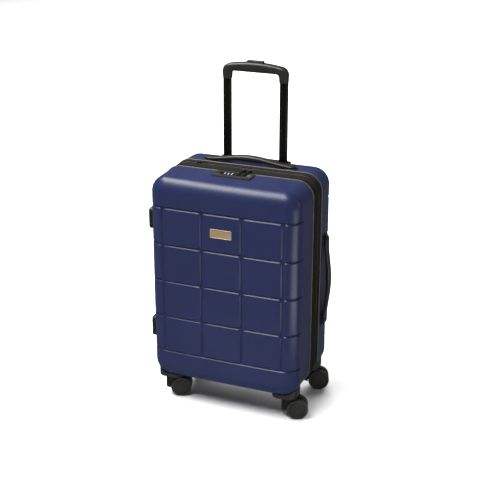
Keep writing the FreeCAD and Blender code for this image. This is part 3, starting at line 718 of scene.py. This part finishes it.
for part in ("outer", "middle", "inner"):
    for side in SIDES:
        tube_piece(f"{part}_tube_{side}")


def grip():
    """Arched bar with rounded shoulders whose legs taper onto the tubes."""
    low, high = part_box("trolley_grip")
    button_low, button_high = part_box("grip_button")
    rods_low, rods_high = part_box("push_rods")
    half, deep, y = high.x, high.y - low.y, (low.y + high.y) / 2
    shoulder, arm, under_corner, arch = 18 * MM, 21 * MM, 7 * MM, 9 * MM
    under, edge, taper, steps = high.z - 22.5 * MM, 6.5 * MM, 0.9 * MM, 12
    arch_radius = (half ** 2 + arch ** 2) / (2 * arch)

    def arched(x):
        return high.z - arch_radius + math.sqrt(arch_radius ** 2 - x * x)

    # the shoulder's arc meets the arch along one tangent
    lean = 0.0
    for _ in range(8):
        meet = half - shoulder + shoulder * math.sin(lean)
        lean = math.asin(meet / arch_radius)
    centre_z = arched(meet) - shoulder * math.cos(lean)
    pairs = []
    for z in np.linspace(low.z, centre_z, 5):
        pinch = taper * (centre_z - z) / (centre_z - low.z)
        inner_z = low.z + (under - under_corner - low.z) * (z - low.z) / (centre_z - low.z)
        pairs.append(((-half + pinch, z), (-half + arm - pinch, inner_z)))
    for i in range(1, steps + 1):
        a = (math.pi / 2 - lean) * i / steps
        b = math.radians(90 * i / steps)
        pairs.append(((-half + shoulder * (1 - math.cos(a)), centre_z + shoulder * math.sin(a)),
                      (-half + arm + under_corner * (1 - math.cos(b)),
                       under - under_corner + under_corner * math.sin(b))))
    bar = half - arm - under_corner
    mirrored = [((-a, b), (-c, d)) for (a, b), (c, d) in pairs[::-1]]
    pairs += [((x * meet / bar, arched(x * meet / bar)), (x, under))
              for x in np.linspace(-bar, bar, 25)[1:-1]]
    rings = []
    for (ax, az), (bx, bz) in pairs + mirrored:
        outer, inner = Vector((ax, y, az)), Vector((bx, y, bz))
        across = outer - inner
        wide = across.length
        across.normalize()
        middle = (outer + inner) / 2
        rings.append([middle + across * a + Y * b
                      for a, b in round_section(wide, deep, edge, 6)])
    room, corner = 0.4 * MM, 3 * MM
    slot = block_between((button_low.x - room, button_low.y - room, rods_high.z - 4 * MM),
                         (button_high.x + room, button_high.y + room, high.z + ABOVE), corner)
    yoke_room, yoke_deep, yoke_tall, yoke_clear = 1 * MM, 3.5 * MM, 7.5 * MM, 0.6 * MM
    way = block_between((rods_low.x - yoke_room, y - yoke_deep, rods_high.z - yoke_tall),
                        (rods_high.x + yoke_room, y + yoke_deep, rods_high.z + yoke_clear), corner)
    mesh = carved(tube_of_rings(rings), slot, way)
    return piece("trolley_grip_moulded", mesh, "trolley_inner", GRIP,
                 ("trolley_grip",), sharp=45)


grip()
softened("grip_button", 1.2 * MM, BLACK, segments=3)
softened("handle_well", 0.8 * MM, BLACK)
softened("tube_foot", 1.5 * MM, BLACK)


# ---------------------------------------------------------------- carrying handles
def carry_handle(node, centre, along, out, across, swell):
    """A soft arched handle: thin flat ends that swell into a rounded grip."""
    low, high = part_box(node)
    length = max(high.x - low.x, high.z - low.z)
    rise = (high - low).dot(Vector([abs(v) for v in out]))
    wide = (high - low).dot(Vector([abs(v) for v in across]))
    tip, arch_end, foot = 0.93, 0.92, 0.46    # shares of the half length, and of the rise
    gap_end, gap_slope, gap_rise = 0.80, 0.62, 0.32    # the opening for the fingers
    waist, waist_end, waist_slope = 0.80, 0.6, 0.3     # narrower in the middle than at the ends
    rings = []
    for t in np.linspace(-1, 1, 61):
        s = abs(t)
        end = math.sqrt(max(0.0, 1 - max(0, (s - tip) / (1 - tip)) ** 2))
        arch = 0.5 + 0.5 * math.cos(math.pi * min(1, s / arch_end))
        top = rise * (foot + (1 - foot) * arch) + swell * arch
        under = rise * gap_rise * smooth((gap_end - s) / gap_slope)
        thick = max(top - under, 1 * MM) * max(end, 0.25)
        broad = waist + (1 - waist) * smooth((s - waist_end) / waist_slope)
        w = wide * broad * max(end, 0.2)
        section = round_section(w, thick, min(thick, w) * 0.42, 5)
        spot = centre + along * (t * length / 2) + out * (under + thick / 2)
        rings.append([spot + across * a + out * b for a, b in section])
    return piece(node + "_soft", tube_of_rings(rings), body_of(node), GRIP,
                 (node,))


top_low, top_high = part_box("top_handle")
side_low, side_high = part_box("side_handle")
TOP_SWELL, SIDE_SWELL = 4 * MM, 1.5 * MM
top_foot = Vector((0, (top_low.y + top_high.y) / 2, top_low.z))
side_foot = Vector((side_low.x, (side_low.y + side_high.y) / 2, (side_low.z + side_high.z) / 2))
carry_handle("top_handle", top_foot, X, Z, Y, TOP_SWELL)
carry_handle("side_handle", side_foot, Z, X, Y, SIDE_SWELL)
softened("top_handle_mounts", 0.8 * MM, BLACK)
softened("side_handle_mounts", 0.8 * MM, BLACK)

# ---------------------------------------------------------------- lock, plate, zip sliders
DIALS = (1, 2, 3)
softened("lock_housing", 0.7 * MM, GREY_BLACK, segments=3)
softened("lock_button", 0.5 * MM, BLACK)


def lock_window():
    """Black glossy facing round the dials and the docks of the zip pulls."""
    dials = [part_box(f"lock_dial_{k}") for k in DIALS]
    pulls = [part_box(f"zip_pull_{side}") for side in SIDES]
    tall, thick, sunk, through = 19 * MM, 0.9 * MM, 0.55 * MM, 4 * MM
    y = (dials[0][0].y + dials[0][1].y) / 2
    left, right = dials[0][0].x - 3 * MM, pulls[1][1].x + 2.5 * MM
    top = lock_high.z

    def opening(between, wide, deep, corner):
        low, high = between
        return rounded_block((wide, deep, through), ((low.x + high.x) / 2, y, top - through / 2),
                             corner, 0.1 * MM)

    cuts = [opening((low, high), high.x - low.x + 0.7 * MM, high.y - low.y + 1 * MM, 0.8 * MM)
            for low, high in dials]
    cuts += [opening(pull, 6 * MM, 9 * MM, 1.5 * MM) for pull in pulls]
    plate = rounded_block((right - left, tall, thick), ((left + right) / 2, y, top - sunk),
                          2.5 * MM, 0.2 * MM)
    piece("lock_window", carved(plate, *cuts), "lid", DIAL, sharp=30)


lock_window()
softened("key_cylinder", 0.3 * MM, STEEL)
for node in ("zip_slider_left", "zip_slider_right", "zip_pull_left", "zip_pull_right",
             "expansion_slider"):
    softened(node, 0.35 * MM, ZINC)


def name_plate():
    """Blank brushed plate with a raised border, standing a little proud of its panel."""
    low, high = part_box("name_plate")
    middle = (low + high) / 2
    wide, tall, corner = high.x - low.x, high.z - low.z, 1.6 * MM
    chamfer, border, slope, sunk, field = 0.35 * MM, 1.3 * MM, 0.4 * MM, 0.55 * MM, 2.6 * MM
    steps = ((0, high.y), (0, low.y + chamfer), (chamfer, low.y), (border, low.y),
             (border + slope, low.y + sunk), (field, low.y + sunk + 0.05 * MM))
    rings = []
    for inset, y in steps:
        section = round_section(wide - 2 * inset, tall - 2 * inset, corner - 0.4 * inset, 4)
        rings.append([Vector((middle.x + a, y, middle.z + b)) for a, b in section])
    return piece("name_plate_brushed", tube_of_rings(rings), "lid", BRASS,
                 ("name_plate",), sharp=30)


name_plate()


def flat_figure(digit, size):
    """The mesh of one digit, lying in the XY plane."""
    text = bpy.data.curves.new("figure", "FONT")
    text.body = str(digit)
    text.size = size
    text.align_x = "CENTER"
    text.align_y = "CENTER"
    text.extrude = 0.16 * MM
    text.resolution_u = 3
    holder = bpy.data.objects.new("figure", text)
    bpy.context.scene.collection.objects.link(holder)
    bpy.context.view_layer.update()
    mesh = bpy.data.meshes.new_from_object(holder)
    bpy.data.objects.remove(holder)
    return mesh


def dial(index):
    """Number wheel: ten flats with notches between them, and a raised figure on each."""
    node = f"lock_dial_{index}"
    centre = Vector(joints[node + "_turn"]["pos_m"])
    low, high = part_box(node)
    radius, half = (high.z - low.z) / 2, (high.x - low.x) / 2
    figures, steps = 10, 120
    notch_deep, notch_wide, size, sunk = 0.55 * MM, 0.09, 4.6 * MM, 0.03 * MM
    shoulder = ((0.0, 0.9 * MM), (0.5 * MM, 0.25 * MM), (0.9 * MM, 0.0))    # along, and inwards
    rings = []
    for x, shrink in [(-half + a, b) for a, b in shoulder] + [(half - a, b)
                                                              for a, b in shoulder[::-1]]:
        ring = []
        for i in range(steps):
            a = 2 * math.pi * i / steps
            phase = (figures * i / steps + 0.5) % 1
            notch = notch_deep * math.exp(-(min(phase, 1 - phase) / notch_wide) ** 2)
            r = radius - notch - shrink
            ring.append((centre.x + x, centre.y - r * math.sin(a), centre.z + r * math.cos(a)))
        rings.append(ring)
    piece(node + "_wheel", tube_of_rings(rings), node, DIAL, (node,), sharp=30)
    parts = []
    for digit in range(figures):
        mesh = flat_figure(digit, size)
        turn = 2 * math.pi * (digit - 3 * index) / figures    # the three show different digits
        for v in mesh.vertices:
            a = turn + v.co.y / radius
            r = radius - sunk + v.co.z
            v.co = (centre.x + v.co.x, centre.y + r * math.sin(a), centre.z + r * math.cos(a))
        parts.append(mesh)
    piece(f"dial_figures_{index}", joined(parts), node, FIGURES, sharp=30)


for i in DIALS:
    dial(i)
softened("push_rods", 0.3 * MM, STEEL)


# ---------------------------------------------------------------- casters
def lathe(profile, centre, axis, steps=72):
    """Turn a closed profile of (radius, along) about an axis."""
    axis = Vector(axis).normalized()
    side = axis.cross(Z).normalized()
    up = side.cross(axis)
    rings = []
    for r, a in profile:
        rings.append([centre + axis * a + (side * math.cos(t) + up * math.sin(t)) * r
                      for t in (2 * math.pi * i / steps for i in range(steps))])
    verts = [p for ring in rings for p in ring]
    return from_lists(verts, ring_faces(len(rings), steps, True))


def wheel(node):
    """A tyre with a rounded tread, a groove round its inner face and a domed, capped hub."""
    joint = joints[node + "_spin"]
    centre, axis = Vector(joint["pos_m"]), Vector(joint["axis"])
    low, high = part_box(node)
    middle = ((low + high) / 2 - centre).dot(axis)
    out = 1 if middle > 0 else -1
    radius = (high.z - low.z) / 2
    wide, tread, bore, cap_bore, cap = 12 * MM, 2.6 * MM, 3.1 * MM, 0.4 * MM, 2 * MM
    near, far = abs(middle) - wide / 2, abs(middle) + wide / 2
    rounding = [(radius - tread * (1 - math.sin(a)), tread * (1 - math.cos(a)))
                for a in (math.radians(k) for k in range(0, 91, 15))]
    # each pair is a share of the radius and how far inside the face it lies
    inner_face = ((0.66, 0), (0.70, 0.8), (0.76, 0.8), (0.80, 0))
    outer_face = ((0.79, 0), (0.765, 0.3), (0.745, 1.3), (0.715, 1.3), (0.70, 0.4), (0.67, 0.1),
                  (0.45, -0.1), (0.2, -0.2))
    profile = [(bore, near)] + [(radius * r, near + a * MM) for r, a in inner_face]
    profile += [(r, near + a) for r, a in rounding]
    profile += [(r, far - a) for r, a in rounding[::-1]]
    profile += [(radius * r, far - a * MM) for r, a in outer_face]
    profile += [(cap_bore, far + 0.2 * MM), (cap_bore, far - cap), (bore, far - cap)]
    mesh = lathe([(r, out * a) for r, a in profile], centre, axis)
    mesh.materials.append(WHEEL)
    mesh.materials.append(HUB)
    thing = piece(node + "_turned", mesh, body_of(node), None, (node,), sharp=35)
    hub_edge, tyre_slot, hub_slot = radius * 0.72, 0, 1
    for face in mesh.polygons:
        arm = Vector(face.center) - centre
        arm -= axis * arm.dot(axis)
        face.material_index = hub_slot if arm.length < hub_edge else tyre_slot
    return thing


for corner in CORNERS:
    softened(f"{corner}_caster_housing", 1.4 * MM, GREY_BLACK, segments=3)
    softened(f"{corner}_caster_fork", 1.0 * MM, BLACK, segments=3)
    axle = frame["nodes"][f"{corner}_axle"].data
    axle.materials.clear()
    axle.materials.append(STEEL)
    for word in ("inner", "outer"):
        wheel(f"{corner}_wheel_{word}")


# ---------------------------------------------------------------- side feet
softened("front_side_feet", 3 * MM, BLACK, segments=4)
softened("rear_side_feet", 3 * MM, BLACK, segments=4)


# ---------------------------------------------------------------- linings and straps
def puckers(along, amount):
    """Small gathers of sewn cloth: waves of 30 and 18 mm that are out of step."""
    return amount * (np.sin(along * 210) * 0.6 + np.sin(along * 347 + 1.3) * 0.4)


def lid_lining():
    """Cloth tray glued inside the lid; it follows the shell a few millimetres in."""
    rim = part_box("front_lining")[1].y
    outer, faces, count = shell_skin(lid_low.y + LINING_GAP, rim, -1, LINING_GAP)
    inner, _, _ = shell_skin(lid_low.y + LINING_GAP + CLOTH, rim, -1, LINING_GAP + CLOTH)
    for skin in (outer, inner):
        skin[:, 1] += puckers(skin[:, 0] + skin[:, 2], 0.3 * MM)
    verts = [tuple(v) for v in np.vstack([outer, inner])]
    shift = len(outer)
    faces = faces + [tuple(shift + i for i in face)[::-1] for face in faces]
    faces += [(i, shift + i, shift + (i + 1) % count, (i + 1) % count) for i in range(count)]
    pocket = block_between(lock_low, lock_high, LOCK_CORNER, 1.2 * MM)
    mesh = carved(from_lists(verts, faces, 2e-6), pocket)
    return piece("front_lining_cloth", mesh, "lid", LINING, ("front_lining",), sharp=60)


def rear_tray():
    """Cloth tray of the rear half: straight walls and a flat back over the handle tubes."""
    low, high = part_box("rear_lining")
    corner, pucker, spacing = 4 * MM, 0.35 * MM, 9 * MM
    xs = np.linspace(-(HALF - CORNER), HALF - CORNER, 41)
    zs = np.linspace(LOW + CORNER, HIGH - CORNER, 57)
    skins = []
    for thick in (0, CLOTH):
        bend = high.y - thick - corner
        depths = [(y, 0.0) for y in np.linspace(low.y, bend, 12)]
        depths += [(bend + corner * math.sin(a), corner * (1 - math.cos(a)))
                   for a in (math.radians(22.5 * k) for k in range(1, 5))]
        rows = []
        for y, inset in depths:
            loop = outline_points(LINING_GAP + thick + inset, xs, zs, 12)
            share = (y - low.y) / (high.y - low.y)
            wave = np.abs(puckers(np.arange(len(loop)) * spacing, pucker)) * share
            rows.append([(x - nx * w, y, z - nz * w) for (x, z, nx, nz), w in zip(loop, wave)])
        skins.append(rows)
    outer, inner = skins
    return piece("rear_lining_cloth", tube_of_rings(outer[::-1] + inner), "rear_case",
                 LINING, ("rear_lining",), sharp=60)


def packing_straps():
    """Two crossing elastic straps with a moulded buckle where they meet."""
    low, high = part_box("packing_straps")
    middle = (low + high) / 2
    lean, reach, wide, thick = math.radians(40), 165 * MM, 24 * MM, 1.0 * MM
    parts = []
    for sign, y in ((1, high.y - 0.7 * MM), (-1, high.y - 1.7 * MM)):
        along = Vector((math.cos(lean), 0, sign * math.sin(lean)))
        side = Vector((-along.z, 0, along.x))
        rings = []
        for t in np.linspace(-1, 1, 45):
            gathered = wide * (1 - 0.12 * math.exp(-(t / 0.12) ** 2))
            at = Vector((middle.x, y, ROW_MIDDLE)) + along * (t * reach)
            rings.append([at + side * a + Y * b
                          for a, b in round_section(gathered, thick, 0.45 * MM, 2)])
        parts.append(tube_of_rings(rings))
    piece("elastic_straps", joined(parts), "rear_case", WEBBING, ("packing_straps",))
    plate = rounded_block((42 * MM, 34 * MM, 3 * MM), (0, 0, 0), 6 * MM, 1 * MM)
    plate.transform(Matrix.Translation((middle.x, low.y + 3 * MM, ROW_MIDDLE))
                    @ Matrix.Rotation(math.radians(90), 4, "X"))
    piece("strap_buckle", plate, "rear_case", BLACK)


lid_lining()
rear_tray()
packing_straps()


# ---------------------------------------------------------------- studio
def paper_floor():
    """A plain pale floor; it is kept out of mirror reflections so the sides stay navy."""
    reach = 30.0
    mesh = bpy.data.meshes.new("floor")
    corners = ((-1, -1), (1, -1), (1, 1), (-1, 1))
    mesh.from_pydata([(x * reach, y * reach, 0) for x, y in corners], [], [(0, 1, 2, 3)])
    floor = bpy.data.objects.new("floor", mesh)
    floor.visible_glossy = False
    bpy.context.scene.collection.objects.link(floor)
    m = Nodes("floor_paper", Roughness=0.9)
    m.link(m.blend(m.noise(2), (0.84, 0.84, 0.84), (0.86, 0.86, 0.86)), "Base Color")
    mesh.materials.append(m.material)


def white_world(strength):
    world = bpy.data.worlds.new("studio")
    world.use_nodes = True
    background = world.node_tree.nodes["Background"]
    background.inputs["Color"].default_value = (1, 1, 1, 1)
    background.inputs["Strength"].default_value = strength
    bpy.context.scene.world = world


def softbox(name, at, target, size, power, reflected=True):
    """A rectangular lamp that the camera doesn't see."""
    lamp = bpy.data.lights.new(name, "AREA")
    lamp.shape = "RECTANGLE"
    lamp.size, lamp.size_y = size
    lamp.energy = power
    thing = bpy.data.objects.new(name, lamp)
    thing.location = at
    thing.rotation_euler = (Vector(target) - Vector(at)).to_track_quat("-Z", "Y").to_euler()
    thing.visible_glossy = reflected
    thing.visible_camera = False
    bpy.context.scene.collection.objects.link(thing)


def long_lens(at, tilt, turn, lens):
    """The photograph's viewpoint: angles in degrees, lens in millimetres."""
    data = bpy.data.cameras.new("camera")
    data.lens = lens
    data.sensor_width = 36
    camera = bpy.data.objects.new("camera", data)
    camera.location = at
    camera.rotation_euler = (math.radians(tilt), 0, math.radians(turn))
    bpy.context.scene.collection.objects.link(camera)
    bpy.context.scene.camera = camera
    bpy.context.scene.view_settings.view_transform = "Standard"


long_lens((0.8772, -2.1564, 1.2780), 68.947, 22.215, 82.62)
paper_floor()
white_world(0.15)
softbox("overhead", (-0.75, -0.7, 2.3), (0, -0.1, 0.5), (2.4, 0.7), 150)
softbox("right", (2.2, 0.1, 1.0), (0.1, 0, 0.35), (0.6, 1.2), 5)
softbox("low_right", (1.05, -0.47, 0.02), (0.9, -0.4, 1.0), (0.6, 0.8), 12)
softbox("low_front", (0.05, -0.34, 0.01), (0.05, -0.33, 1.0), (0.5, 0.2), 0.9, False)
softbox("backdrop", (-0.6, 4.0, 3.2), (-0.4, 2.4, 0), (5.0, 3.4), 420, False)
